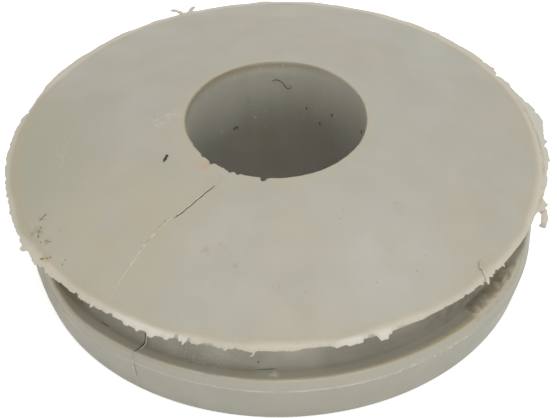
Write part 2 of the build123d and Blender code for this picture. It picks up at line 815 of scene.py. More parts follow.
    def thin_edge(self) -> None:
        """Warms the head towards its thin edge and fades the edge to cream, less so at its left."""
        paint, head = self.paint, self.sizes.head
        reach = paint.maths("ADD", self.radius, paint.times(paint.noise(2.0, 3.0), 0.5))
        left = paint.near(at(15.2, -92.0, 6.2), 9.0, 5.5)
        warm = paint.times(paint.ramp(reach, head - 0.8, head - 0.1, 0.6), self.on_head)
        self.cover((184, 174, 152), warm)
        self.cover((178, 169, 146), warm, left)
        narrowed = paint.maths("SUBTRACT", reach, paint.times(left, 0.3))
        edge = paint.times(paint.ramp(narrowed, head - 0.32, head + 0.12, 0.9), self.on_head)
        self.cover(self.CREAM, edge)
        self.cover((196, 192, 174), edge, left)

    def torn_edge(self) -> None:
        """Pales the wide flash, draws the brown line at its root and whitens the fresh tears."""
        paint, head = self.paint, self.sizes.head
        wide = paint.near(at(15.4, 98.0, 6.2), 5.5, 3.5)
        self.cover((205, 204, 190), wide, self.by_radius(head - 0.05, head + 0.15, 0.7))
        root = paint.ramp(paint.apart(self.radius, head - 0.02), 0.14, 0.03)
        stretch = paint.near(at(15.0, 94.0, 6.3), 6.5, 4.0)
        broken = paint.patches(0.8, 3.0, 0.35, 0.6, 0.6)
        self.cover((184, 165, 136), root, stretch, broken, self.on_head)
        for bearing, size in ((-30.0, 2.6), (-21.0, 0.9), (15.0, 1.2), (22.0, 0.9)):
            tear = paint.near(at(15.1, bearing, 6.0), size, size * 0.4)
            self.cover((222, 219, 207), tear, self.by_radius(head - 0.4, head - 0.15, 0.75), self.on_head)

    def marks_and_sheens(self) -> tuple[SurfaceMark, ...]:
        """Lists the marks left on the moulding by use, and the two broad painted sheens on the front of the
        dome.

        Returns:
            The marks, in the order that they are laid.
        """
        dome = self.sizes.on_dome
        brown = (128, 112, 84)
        return (
            SurfaceMark(dome(14.2, -67.0), 0.8, brown, 0.3, 0.25, 0.6),
            SurfaceMark(dome(13.65, -69.7), 0.45, brown, 0.35, 0.25, 0.7),
            SurfaceMark(dome(14.1, -62.6), 0.35, brown, 0.35, 0.2, 0.6),
            SurfaceMark(dome(14.65, -59.0), 0.45, brown, 0.35, 0.2, 0.6),
            SurfaceMark(dome(14.75, -58.8), 0.7, (196, 178, 120), 0.3, 0.3, 0.7),
            SurfaceMark(at(13.85, -1.3, 3.48), 0.42, (232, 230, 216), 0.8, 0.25, 0.9),
            SurfaceMark(at(13.8, -4.0, 3.48), 0.7, (188, 192, 176), 0.45, 0.4, 0.9),
            SurfaceMark(dome(9.07, 45.5), 0.85, (184, 166, 142), 0.55, 0.35, 0.7, 0.2),
            # Painted highlights: two broad light grey sheens on the front of the dome.
            SurfaceMark(dome(11.5, 32.0), 5.4, (192, 190, 180), 0.8, 2.2, 1.0, 0.4),
            SurfaceMark(dome(9.8, -14.0), 4.6, (189, 186, 175), 0.75, 2.0, 1.0, 0.4),
            SurfaceMark(dome(6.6, 170.0), 2.6, (188, 176, 156), 0.5, 1.2, 0.8, 0.3),
            SurfaceMark(dome(6.4, 120.0), 2.2, (188, 178, 158), 0.5, 1.0, 0.8, 0.3),
            SurfaceMark(dome(5.42, -45.0), 0.36, (197, 160, 128), 0.8, 0.2, 0.9),
            SurfaceMark(dome(5.7, -48.0), 0.9, (188, 168, 148), 0.35, 0.4, 0.7),
            SurfaceMark(dome(6.5, -96.5), 0.3, (150, 150, 138), 0.4, 0.2, 0.7),
            SurfaceMark(dome(6.3, -94.0), 1.1, (204, 202, 192), 0.45, 0.22, 0.4),
            SurfaceMark(dome(5.6, -98.0), 0.7, (206, 204, 194), 0.5, 0.2, 0.4),
            SurfaceMark(dome(10.1, -22.4), 0.5, (166, 150, 124), 0.7, 0.4, 1.0, 0.4),
            SurfaceMark(dome(9.75, -16.6), 0.4, (168, 154, 130), 0.45, 0.4, 1.0, 0.4),
            SurfaceMark(dome(9.5, -18.6), 0.25, (166, 152, 128), 0.5, 0.4, 1.0, 0.4),
            SurfaceMark(dome(10.6, -12.4), 0.26, (162, 148, 126), 0.6, 0.4, 1.0, 0.4),
            SurfaceMark(dome(11.65, -0.5), 0.4, (168, 154, 130), 0.5, 0.2, 0.8, 0.2),
            SurfaceMark(dome(10.4, 38.0), 0.9, (186, 180, 164), 0.6, 0.5, 0.7, 0.2),
            SurfaceMark(dome(12.0, -88.0), 1.3, (200, 196, 168), 0.35, 0.25, 0.35),
        )

    def mark(self, surface_mark: SurfaceMark) -> None:
        """Lays one mark, broken up by noise.

        Args:
            surface_mark: The mark.
        """
        low = 0.62 - 0.3 * surface_mark.cover
        broken = self.paint.patches(surface_mark.lump, 3.0, low, low + surface_mark.soft)
        self.cover(surface_mark.colour, self.paint.near(surface_mark.spot, surface_mark.reach), broken, surface_mark.strength)

    def speckle(self) -> None:
        """Scatters fine dark and pale specks."""
        self.cover((140, 134, 116), self.paint.patches(0.16, 1.0, 0.70, 0.78, 0.22))
        self.cover((206, 203, 190), self.paint.patches(0.19, 1.0, 0.70, 0.8, 0.14))

    def surface(self) -> None:
        """Gives the rubber its fine moulded grain, the foot's pits, and a dull uneven gloss."""
        paint = self.paint
        paint.bump(paint.noise(0.14, 3.0), 0.25, 0.012)
        paint.bump(paint.noise(1.1, 2.0), 0.3, 0.02)
        paint.bump(paint.times(paint.patches(0.3, 3.0, 0.55, 0.75), self.below), 0.4, 0.02)
        uneven = {"Value": paint.noise(1.7, 3.0), "From Min": 0.3, "From Max": 0.7}
        dull = paint.node("MapRange", uneven | {"To Min": 0.5, "To Max": 0.66})
        paint.roughness(dull.outputs["Result"])


@dataclass(frozen=True)
class PlainFinish:
    """A finish of one mottled colour, for small pieces.

    Attributes:
        name: The material's name.
        light: Its lighter colour as seen.
        dark: Its darker colour as seen.
        lump: Rough size in millimetres of its patches.
        roughness: The shader's roughness.
    """

    name: str
    light: tuple[float, float, float]
    dark: tuple[float, float, float]
    lump: float = 0.5
    roughness: float = 0.6

    def build(self) -> Material:
        """Makes the material.

        Returns:
            The finished material.
        """
        paint = Paint(self.name)
        mottle = paint.patches(self.lump, 3.0, 0.35, 0.65)
        paint.colour(paint.mix(mottle, seen(*self.light), seen(*self.dark)))
        paint.bump(paint.noise(self.lump * 0.3, 2.0), 0.2, 0.01)
        paint.shader.inputs["Roughness"].default_value = self.roughness
        return paint.material


# ---------------------------------------------------------------- the moulding


@dataclass(frozen=True)
class Corner:
    """One corner of the section: its radius, its height, and its rounding, in millimetres."""

    radius: float
    height: float
    rounding: float = 0.0


@dataclass
class Moulding:
    """The grommet's one moulded piece.

    Attributes:
        sizes: Its sizes in millimetres.
        segments: How many steps it is turned in.
        dome_steps: How many points the dome's line has.
        round_steps: How many lengths a rounded corner has.
        longest: The longest edge that its section may keep, in millimetres.
        set_shift: How far the soft foot has set sideways under the head, in millimetres.
        bore_shift: How far the bore is off the middle of the head, in millimetres.
    """

    sizes: Sizes
    segments: int = 640
    dome_steps: int = 34
    round_steps: int = 5
    longest: float = 0.45
    set_shift: float = 0.25
    bore_shift: float = BORE_SHIFT

    def corners(self) -> list[Corner]:
        """Lists the section's corners.

        Returns:
            The corners in order, from the bore's foot round to the bore's rim.
        """
        s = self.sizes
        return [
            Corner(s.bore, 0.0, 0.08),
            Corner(s.base + 0.05, 0.0, 0.12),
            Corner(s.parting, s.parting_height - 0.07),
            Corner(s.parting + 0.045, s.parting_height),
            Corner(s.parting, s.parting_height + 0.04),
            Corner(s.lip, s.lip_height, 0.14),
            Corner(s.core, s.floor, 0.4),
            Corner(s.core, s.underside, 0.3),
            Corner(s.under_edge, s.underside, 0.06),
            Corner(s.roll, s.dome(s.roll), 0.28),
            Corner(s.bore, s.rim, 0.1),
        ]

    def turn(self) -> Piece:
        """Draws the section by extruding a point, rounds its corners and turns it round the bore.

        Returns:
            The turned mesh object.
        """
        corners = self.corners()
        bpy.ops.object.select_all(action="DESELECT")
        bpy.ops.mesh.primitive_plane_add(size=MM)
        piece = bpy.context.object
        piece.name = "grommet_moulding"
        bpy.ops.object.mode_set(mode="EDIT")
        bpy.ops.mesh.merge(type="CENTER")
        line = [Vector((c.radius, 0.0, c.height)) for c in corners[:-1]]
        step = (self.sizes.bore - self.sizes.roll) / self.dome_steps
        for count in range(1, self.dome_steps + 1):
            radius = self.sizes.roll + step * count
            line.append(Vector((radius, 0.0, self.sizes.dome(radius))))
        bpy.ops.transform.translate(value=line[0] * MM)
        for start, end in zip(line, line[1:]):
            bpy.ops.mesh.extrude_vertices_move(TRANSFORM_OT_translate={"value": (end - start) * MM})
        ends = (line[0] * MM, line[-1] * MM)
        pick(piece, lambda co: min((co - end).length for end in ends) < TOUCHING)
        bpy.ops.mesh.edge_face_add()
        self.round_corners(piece, corners)
        self.divide(piece)
        bpy.ops.mesh.select_all(action="SELECT")
        bpy.ops.mesh.spin(
            steps=self.segments, angle=math.tau, center=(0, 0, 0), axis=(0, 0, 1), use_auto_merge=False
        )
        bpy.ops.mesh.select_all(action="SELECT")
        bpy.ops.mesh.remove_doubles(threshold=TOUCHING)
        bpy.ops.mesh.normals_make_consistent(inside=False)
        bpy.ops.object.mode_set(mode="OBJECT")
        return piece

    def round_corners(self, piece: Piece, corners: list[Corner]) -> None:
        """Rounds each corner of the section that has a rounding.

        Args:
            piece: The section, in edit mode.
            corners: The section's corners in order.
        """
        dome_start = self.sizes.roll - 0.5
        ahead = corners[1:] + corners[:1]
        behind = corners[-1:] + corners[:-1]
        for corner, after, before in zip(corners, ahead, behind):
            if corner.rounding == 0.0:
                continue
            place = Vector((corner.radius, 0.0, corner.height))
            arms = []
            for other in (after, before):
                arm = Vector((other.radius, 0.0, other.height)) - place
                if {corner.radius, other.radius} == {self.sizes.roll, self.sizes.bore}:
                    inward = dome_start if corner.radius == self.sizes.roll else self.sizes.bore + 0.5
                    arm = Vector((inward, 0.0, self.sizes.dome(inward))) - place
                arms.append(arm)
            turn = math.pi - arms[0].angle(arms[1])
            pick(piece, lambda co: (co - place * MM).length < TOUCHING)
            bpy.ops.mesh.bevel(
                offset=corner.rounding * math.tan(turn / 2.0) * MM,
                segments=self.round_steps,
                affect="VERTICES",
                clamp_overlap=False,
            )

    def divide(self, piece: Piece) -> None:
        """Divides the section's long edges, so that wear can shape them.

        Args:
            piece: The section, in edit mode.
        """
        for parts in range(40, 1, -1):
            least = (parts - 1) * self.longest * MM
            most = parts * self.longest * MM
            if pick_edges(piece, lambda a, b: least < (a - b).length <= most):
                bpy.ops.mesh.subdivide(number_cuts=parts - 1)
        bpy.ops.mesh.select_mode(type="VERT")

    def wear(self, piece: Piece) -> None:
        """Moves the turned surface as use and an uneven mould have left it.

        Args:
            piece: The turned mesh object.
        """
        s = self.sizes
        points = places(piece)
        radius = np.hypot(points[:, 0], points[:, 1])
        bearing = np.degrees(np.arctan2(points[:, 0], -points[:, 1]))
        height = points[:, 2].copy()
        outward = np.zeros(len(points))
        upward = np.zeros(len(points))

        # The dome isn't quite even
        dome = smooth(s.bore + 0.2, s.bore + 1.5, radius) * smooth(s.edge - 0.1, s.edge + 0.1, height)
        upward += dome * (0.035 * grain(points, 4.5, 1.0) + 0.012 * grain(points, 1.3, 2.0))

        # The head's thin edge waves
        edge = smooth(s.head - 1.4, s.head - 0.3, radius) * smooth(s.underside - 0.1, s.underside, height)
        upward += edge * s.edge_wave(bearing)

        # The bore's rim is a little worn round at the back and left, and nicked at the front
        soft = 0.3 + 0.7 * hump(0.0, 100.0, turn_apart(bearing, -150.0))
        by_rim = smooth(0.55, 0.0, radius - s.bore) * smooth(s.rim - 0.5, s.rim - 0.15, height)
        upward -= by_rim * soft * 0.05
        flare = 0.02 * soft + 0.12 * hump(0.0, 75.0, turn_apart(bearing, 180.0))
        outward += by_rim * (flare + 0.025 * round_grain(bearing, s.bore, 1.1, 14.0))
        nicked = smooth(-70.0, -52.0, bearing) * smooth(-4.0, -12.0, bearing)
        chips = np.maximum(0.0, round_grain(bearing, s.bore, 0.32, 6.0) + 0.05)
        chips += 0.2 * np.maximum(0.0, round_grain(bearing, s.bore, 0.16, 16.0))
        chips *= 0.12 + 0.88 * nicked
        chips += 0.5 * hump(-31.0, 2.4, bearing) + 0.4 * hump(-45.3, 3.0, bearing)
        by_lip = smooth(s.bore + 0.34, s.bore + 0.02, radius) * smooth(s.rim - 0.75, s.rim - 0.15, height)
        notch = hump(-8.9, 2.1, bearing)
        upward -= by_lip * (0.2 * chips + 0.3 * notch)
        outward += by_lip * (0.12 * chips + 0.24 * notch)

        # The foot's lip wobbles, is drawn in at both sides, and is worn away at one place
        lip = smooth(s.lip - 0.9, s.lip, radius) * smooth(s.parting_height - 1.5, s.parting_height, height)
        lip *= smooth(s.underside - 0.5, s.lip_height + 0.3, height)
        outward += lip * 0.05 * round_grain(bearing, s.lip, 4.0, 7.0)
        outward -= lip * (0.55 * hump(-75.0, 27.0, bearing) + 0.36 * hump(82.0, 26.0, bearing))
        upward += lip * 0.05 * round_grain(bearing, s.lip, 3.2, 8.0)
        upward += lip * 0.015 * round_grain(bearing, s.lip, 0.7, 9.0)
        worn = smooth(46.6, 48.2, bearing) * smooth(74.0, 60.0, bearing)
        rough = 1.0 + 0.5 * round_grain(bearing, s.lip, 0.9, 10.0)
        rough += 0.25 * round_grain(bearing, s.lip, 0.35, 17.0)
        upward -= smooth(s.lip - 0.35, s.lip, radius) * lip * worn * rough * 0.3
        floor = smooth(s.core - 0.1, s.core + 0.45, radius) * smooth(s.lip + 0.1, s.lip - 0.25, radius)
        floor *= smooth(s.floor - 0.3, s.floor - 0.05, height) * smooth(s.floor + 0.9, s.floor + 0.5, height)
        upward += floor * worn * (0.28 + 0.07 * grain(points, 0.8, 18.0))

        # The parting line's ridge is worn off at one side
        ridge = hump(s.parting_height, 0.03, height) * smooth(s.parting + 0.02, s.parting + 0.04, radius)
        outward -= 0.042 * ridge * smooth(22.0, 40.0, bearing) * smooth(150.0, 120.0, bearing)

        # The skirt is a little lumpy
        skirt = smooth(s.core, s.base, radius) * smooth(s.lip_height, s.parting_height, height)
        skirt *= smooth(0.0, 0.4, height)
        outward += skirt * (0.03 * grain(points, 2.6, 11.0) + 0.012 * grain(points, 0.7, 12.0))

        # The bore's wall is faintly ribbed by its core pin
        wall = smooth(s.bore + 0.05, s.bore, radius) * smooth(s.rim - 0.2, s.rim - 1.2, height)
        outward += wall * 0.02 * round_grain(bearing, s.bore, 0.7, 13.0)

        # The soft foot has set to one side of the head, and the bore a little with it
        low = smooth(s.underside + 1.0, s.lip_height - 0.8, height)
        shift = self.set_shift * low * smooth(8.0, 12.0, radius)
        shift += self.bore_shift * smooth(9.0, 6.0, radius)
        around = np.stack([points[:, 0], points[:, 1]], axis=1) / radius[:, None]
        points[:, :2] += around * outward[:, None]
        points[:, 0] += shift
        points[:, 2] += upward
        move_to(piece, points)

    def cut(self, piece: Piece, blade: Strand) -> None:
        """Cuts a crack with a thin blade laid along its line.

        Args:
            piece: The turned mesh object.
            blade: The blade, which is removed afterwards.

        Raises:
            RuntimeError: The cut took the moulding away instead of opening a crack in it.
        """
        whole = len(piece.data.polygons)
        cutter = blade.make()
        apply(piece, "BOOLEAN", operation="DIFFERENCE", solver="MANIFOLD", object=cutter)
        bpy.data.objects.remove(cutter)
        if len(piece.data.polygons) < whole / 2:
            raise RuntimeError(f"{blade.name} cut the moulding away")

    def build(self, finish: Material, blades: tuple[Strand, ...]) -> Piece:
        """Makes the moulding and puts it in the solid's place.

        Args:
            finish: The rubber's material.
            blades: The blades that cut its cracks.

        Returns:
            The finished mesh object.
        """
        piece = self.turn()
        self.wear(piece)
        for blade in blades:
            self.cut(piece, blade)
        hand_in(piece, finish, 40.0)
        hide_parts(NODE)
        return piece


@dataclass(frozen=True)
class Cracks:
    """The crack in the dome and the split in the groove and foot below it."""

    sizes: Sizes

    def dome_line(self) -> tuple[tuple[float, float], ...]:
        """Gives the line of the dome's crack.

        Returns:
            Its points from the bore outwards, each a radius in millimetres and a bearing.
        """
        return (
            (5.52, -30.2), (6.1, -31.4), (6.6, -33.0), (7.16, -34.5), (7.7, -35.5), (8.17, -36.3),
            (8.86, -37.8), (8.9, -38.6), (9.35, -39.9), (9.8, -40.1), (10.23, -40.1), (10.7, -40.3),
            (11.22, -40.3), (12.03, -40.1), (12.82, -39.9), (13.47, -39.7), (14.17, -39.1),
        )

    def on_line(self, turn: float, lift: float, first: int, end: int | None = None) -> tuple[Vector, ...]:
        """Gives a stretch of the dome's crack, laid on the dome.

        Args:
            turn: How many degrees it is turned off the crack.
            lift: How far it is lifted off the dome, in millimetres.
            first: The number of its first point.
            end: The number of the point that it stops before, or None for the crack's own end.

        Returns:
            The points in metres.
        """
        line = self.dome_line()[first:end]
        return tuple(self.sizes.on_dome(radius, bearing + turn, lift) for radius, bearing in line)

    def split_line(self) -> tuple[Vector, ...]:
        """Gives the line of the split, from the core across the groove to the foot's lip.

        Returns:
            Its points in metres.
        """
        return (
            at(13.24, -32.6, 5.3), at(13.24, -32.7, 4.7), at(13.26, -33.1, 4.0), at(13.38, -33.0, 3.58),
            at(13.6, -32.9, 3.48), at(13.95, -33.0, 3.5), at(14.3, -33.3, 3.56),
        )

    def seam_line(self) -> tuple[Vector, ...]:
        """Gives the line of the pale seam that runs on down the skirt.

        Returns:
            Its points in metres.
        """
        return (
            at(14.32, -33.4, 3.5), at(14.39, -33.5, 3.2), at(14.37, -33.4, 2.96), at(14.36, -33.4, 2.6),
            at(14.21, -33.6, 2.16), at(14.04, -33.8, 1.6), at(13.87, -34.2, 1.09), at(13.7, -34.5, 0.6),
            at(13.55, -34.8, 0.25),
        )

    def blades(self) -> tuple[Strand, ...]:
        """Lists the blades that cut the cracks.

        Returns:
            The blades, in the order that they cut.
        """
        return (
            Strand(
                "dome_crack", self.on_line(0.0, 0.02, 1, 8), 0.1, 1.2,
                sides=4, steps=110, ends=(0.12, 0.4), fade=0.15, wander=0.03, rough=0.7, lump=0.4, seed=3.0,
            ),
            Strand(
                "dome_hairline", self.on_line(0.0, 0.02, 7, 14), 0.085, 0.5,
                sides=4, steps=120, ends=(0.2, 0.1), fade=0.2, wander=0.04, rough=1.0, lump=0.4, seed=4.0,
            ),
            Strand(
                "foot_split", self.split_line(), 0.2, 0.6,
                sides=4, steps=120, ends=(0.15, 0.3), fade=0.3, wander=0.04, rough=0.6, lump=0.4, seed=5.0,
            ),
        )

    def build(self, finish: Material) -> None:
        """Raises the pale torn lips that stand along the cracks.

        Args:
            finish: The pale torn rubber's material.
        """
        beside = Vector((0.12 * MM, -0.02 * MM, 0.0))
        lips = (
            Strand(
                "dome_lip_inner", self.on_line(-0.45, 0.0, 0, 8), 0.07, 0.05,
                steps=160, ends=(0.2, 0.5), wander=0.02, rough=1.0, lump=0.3, seed=11.0,
            ),
            Strand(
                "dome_lip_near", self.on_line(0.2, 0.005, 6), 0.085, 0.07,
                steps=240, ends=(0.5, 0.3), fade=0.2, wander=0.04, rough=0.6, lump=0.3, seed=6.0,
            ),
            Strand(
                "dome_lip_far", self.on_line(-0.35, 0.0, 7, 15), 0.05, 0.05,
                steps=200, ends=(0.2, 0.1), wander=0.05, rough=1.2, lump=0.3, seed=7.0,
            ),
            Strand(
                "dome_lip_frays", self.on_line(0.0, 0.0, 9, 15), 0.05, 0.05,
                steps=200, ends=(0.2, 0.1), wander=0.16, rough=1.8, lump=0.16, seed=12.0,
            ),
            Strand(
                "groove_lip", tuple(p + beside for p in self.split_line()), 0.07, 0.1,
                steps=120, wander=0.02, rough=0.8, lump=0.4, seed=8.0,
            ),
            Strand(
                "foot_seam", self.seam_line(), 0.075, 0.08,
                steps=140, wander=0.03, rough=0.6, lump=0.4, seed=9.0,
            ),
            Strand(
                "groove_lip_short", (at(14.2, -45.4, 3.52), at(13.9, -46.2, 3.46), at(13.62, -46.7, 3.44)),
                0.07, 0.06, steps=60, wander=0.04, rough=0.8, lump=0.3, seed=10.0,
            ),
        )
        for lip in lips:
            hand_in(lip.make(), finish)


# ---------------------------------------------------------------- the flash


@dataclass(frozen=True)
class Stretch:
    """How the flash is along one part of the head's edge.

    Attributes:
        bearing: The middle of that part.
        reach: How far the flash stands beyond the edge, in millimetres.
        droop: How many degrees below level it hangs.
        teeth: How ragged it is, in millimetres.
    """

    bearing: float
    reach: float
    droop: float
    teeth: float


@dataclass(frozen=True)
class Tear:
    """One notch or lobe in the flash: its bearing, half its width in degrees, and its change in reach."""

    bearing: float
    half_width: float
    change: float


@dataclass
class Flash:
    """The thin torn flash round the head's edge, with its tabs, tufts and threads.

    Attributes:
        sizes: The moulding's sizes.
        points: How many points the ring has.
        rings: How many rings it is built of, from the dome outwards.
        thickness: How thick it is, in millimetres.
        start: The radius where it leaves the dome, in millimetres.
        length: How far it runs from there to the head's edge, in millimetres.
        sink: How far its start is sunk in the dome, in millimetres.
    """

    sizes: Sizes
    points: int = 2600
    rings: int = 9
    thickness: float = 0.06
    start: float = 14.5
    length: float = 0.5
    sink: float = 0.012

    def stretches(self) -> tuple[Stretch, ...]:
        """Lists how the flash is all round.

        Returns:
            The stretches: the bearing, reach, droop and teeth of each.
        """
        rows = (
            (-172.0, 0.17, 22.0, 0.03), (-150.0, 0.18, 22.0, 0.05), (-135.0, 0.2, 22.0, 0.08),
            (-125.0, 0.42, 22.0, 0.1), (-112.0, 0.05, 24.0, 0.05), (-107.0, 0.22, 22.0, 0.08),
            (-93.0, 0.26, 22.0, 0.11), (-85.0, 0.12, 24.0, 0.10), (-74.0, 0.14, 30.0, 0.09),
            (-66.0, 0.26, 30.0, 0.1), (-61.0, 0.24, 32.0, 0.12), (-50.0, 0.06, 60.0, 0.08),
            (-36.0, 0.06, 70.0, 0.09), (-27.0, 0.10, 78.0, 0.12), (-12.0, 0.04, 80.0, 0.08),
            (2.0, 0.04, 80.0, 0.05), (9.0, 0.0, 80.0, 0.05), (28.0, -0.02, 75.0, 0.03),
            (45.0, -0.02, 65.0, 0.03), (60.0, 0.0, 50.0, 0.01), (72.0, 0.04, 30.0, 0.03),
            (82.0, 0.22, 22.0, 0.06), (92.0, 0.42, 20.0, 0.07), (99.0, 0.48, 18.0, 0.06),
            (104.0, 0.9, 14.0, 0.07), (109.0, 0.64, 14.0, 0.06), (114.0, 0.24, 18.0, 0.06),
            (121.0, 0.18, 18.0, 0.07), (131.0, 0.42, 20.0, 0.07), (146.0, 0.24, 20.0, 0.03),
            (165.0, 0.19, 22.0, 0.02),
        )
        return tuple(Stretch(*row) for row in rows)

    def tears(self) -> tuple[Tear, ...]:
        """Lists the larger notches and lobes.

        Returns:
            The tears: the bearing, half width and change in reach of each.
        """
        rows = (
            (-109.8, 0.7, -0.14), (-107.6, 1.2, 0.1), (-103.0, 0.5, 0.06), (-99.2, 0.6, 0.07),
            (-93.0, 0.8, -0.07), (-86.5, 0.6, 0.06), (-81.0, 0.9, -0.08), (-76.5, 0.6, 0.06),
            (-69.0, 0.9, -0.06), (-65.3, 1.1, 0.22), (-60.0, 0.5, 0.1), (-57.5, 0.9, -0.1),
            (-51.5, 0.5, -0.1), (-46.6, 0.8, -0.12), (-42.0, 0.5, 0.14), (-37.0, 0.7, -0.12),
            (-33.0, 1.0, 0.12), (-30.2, 0.6, 0.1), (-27.0, 1.2, 0.16), (-23.6, 0.8, 0.14),
            (-21.6, 0.6, -0.28), (-19.9, 0.35, 0.16), (-18.8, 0.55, -0.26), (-15.0, 1.8, -0.12),
            (-11.0, 0.5, 0.06), (-9.0, 0.5, -0.08), (-6.0, 2.0, 0.06), (3.0, 2.0, 0.04),
            (12.6, 2.4, 0.14), (15.0, 1.5, 0.2), (16.7, 1.0, 0.22), (19.2, 0.9, -0.14),
            (21.6, 1.5, 0.34), (23.0, 1.0, 0.14), (26.0, 1.2, -0.08), (36.9, 0.5, -0.07),
            (42.4, 0.6, -0.08), (44.6, 0.4, 0.05), (47.5, 0.5, 0.1), (49.4, 0.4, 0.12),
            (50.6, 0.4, 0.1), (52.4, 0.6, -0.1), (54.8, 0.3, 0.16), (75.4, 2.6, 0.3),
            (86.0, 1.6, -0.06), (90.5, 0.5, 0.08), (95.3, 0.8, -0.12), (96.9, 0.5, 0.14),
            (106.8, 0.5, -0.1), (110.4, 0.5, -0.12), (117.0, 1.2, 0.1), (120.6, 0.6, -0.2),
            (123.4, 0.6, 0.1), (126.4, 0.5, -0.12), (141.0, 1.2, 0.16), (-160.2, 1.8, 0.12),
            (171.0, 1.2, 0.05),
        )
        return tuple(Tear(*row) for row in rows)

    def shape(self, bearing: np.ndarray) -> tuple[np.ndarray, np.ndarray]:
        """Works out the flash's reach and droop at each bearing.

        Args:
            bearing: Bearings in degrees.

        Returns:
            The reach in millimetres and the droop in radians, for each bearing.
        """
        known = self.stretches()
        angles = [s.bearing for s in known]
        rows = [(s.reach, math.radians(s.droop), s.teeth) for s in known]
        reach, droop, teeth = (
            np.interp(bearing, angles, [row[i] for row in rows], period=360.0) for i in range(3)
        )
        radius = self.sizes.head
        lobes = round_grain(bearing, radius, 0.95, 21.0)
        small = round_grain(bearing, radius, 0.4, 22.0)
        fine = round_grain(bearing, radius, 0.15, 23.0)
        reach = reach * (1.0 + 0.2 * round_grain(bearing, radius, 3.0, 24.0))
        reach = reach + teeth * (1.0 * lobes + 0.7 * np.abs(small) + 0.4 * fine) + 0.012 * fine
        for tear in self.tears():
            share = np.minimum(1.0, 1.8 * hump(0.0, tear.half_width, turn_apart(bearing, tear.bearing)))
            reach = reach + tear.change * share * (1.0 + 0.35 * small)
        return np.maximum(reach, -0.2), droop

    def ring(self) -> Piece:
        """Extrudes a circle into a band, lays it on the dome's edge and tears its outer side.

        Returns:
            The finished band.
        """
        s = self.sizes
        bpy.ops.object.select_all(action="DESELECT")
        bpy.ops.mesh.primitive_circle_add(vertices=self.points, radius=self.start * MM)
        piece = bpy.context.object
        piece.name = "flash_ring"
        bpy.ops.object.mode_set(mode="EDIT")
        bpy.ops.mesh.select_all(action="SELECT")
        spacing = self.length / self.rings
        for ring in range(self.rings):
            radius = self.start + spacing * ring
            grow = (radius + spacing) / radius
            bpy.ops.mesh.extrude_edges_move()
            bpy.ops.transform.resize(value=(grow, grow, 1.0))
        bpy.ops.object.mode_set(mode="OBJECT")
        points = places(piece)
        level = np.rint((np.hypot(points[:, 0], points[:, 1]) - self.start) / spacing)
        bearing = np.degrees(np.arctan2(points[:, 0], -points[:, 1]))
        reach, droop = self.shape(bearing)
        slope = math.atan((s.dome(self.start) - s.dome(s.head)) / (s.head - self.start))
        out = np.full(len(points), self.start)
        up = s.dome(self.start) - self.sink + s.edge_wave(bearing)
        step = (self.length + reach) / self.rings
        for ring in range(1, self.rings + 1):
            angle = slope + (droop - slope) * smooth(0.35, 1.0, (ring - 0.5) / self.rings)
            out += np.where(level >= ring, step * np.cos(angle), 0.0)
            up -= np.where(level >= ring, step * np.sin(angle), 0.0)
        share = level / self.rings
        up += share * (self.sink + 0.05 * share * round_grain(bearing, s.head, 0.9, 26.0))
        out += share * share * 0.04 * round_grain(bearing, s.head, 1.4, 25.0)
        turn = np.radians(bearing)
        move_to(piece, np.stack([out * np.sin(turn), -out * np.cos(turn), up], axis=1))
        bpy.ops.object.mode_set(mode="EDIT")
        bpy.ops.mesh.select_all(action="SELECT")
        bpy.ops.mesh.normals_make_consistent(inside=False)
        if sum(face.normal.z for face in bmesh.from_edit_mesh(piece.data).faces) < 0.0:
            bpy.ops.mesh.flip_normals()
        bpy.ops.object.mode_set(mode="OBJECT")
        apply(piece, "SOLIDIFY", thickness=self.thickness * MM, offset=-1.0)
        return piece

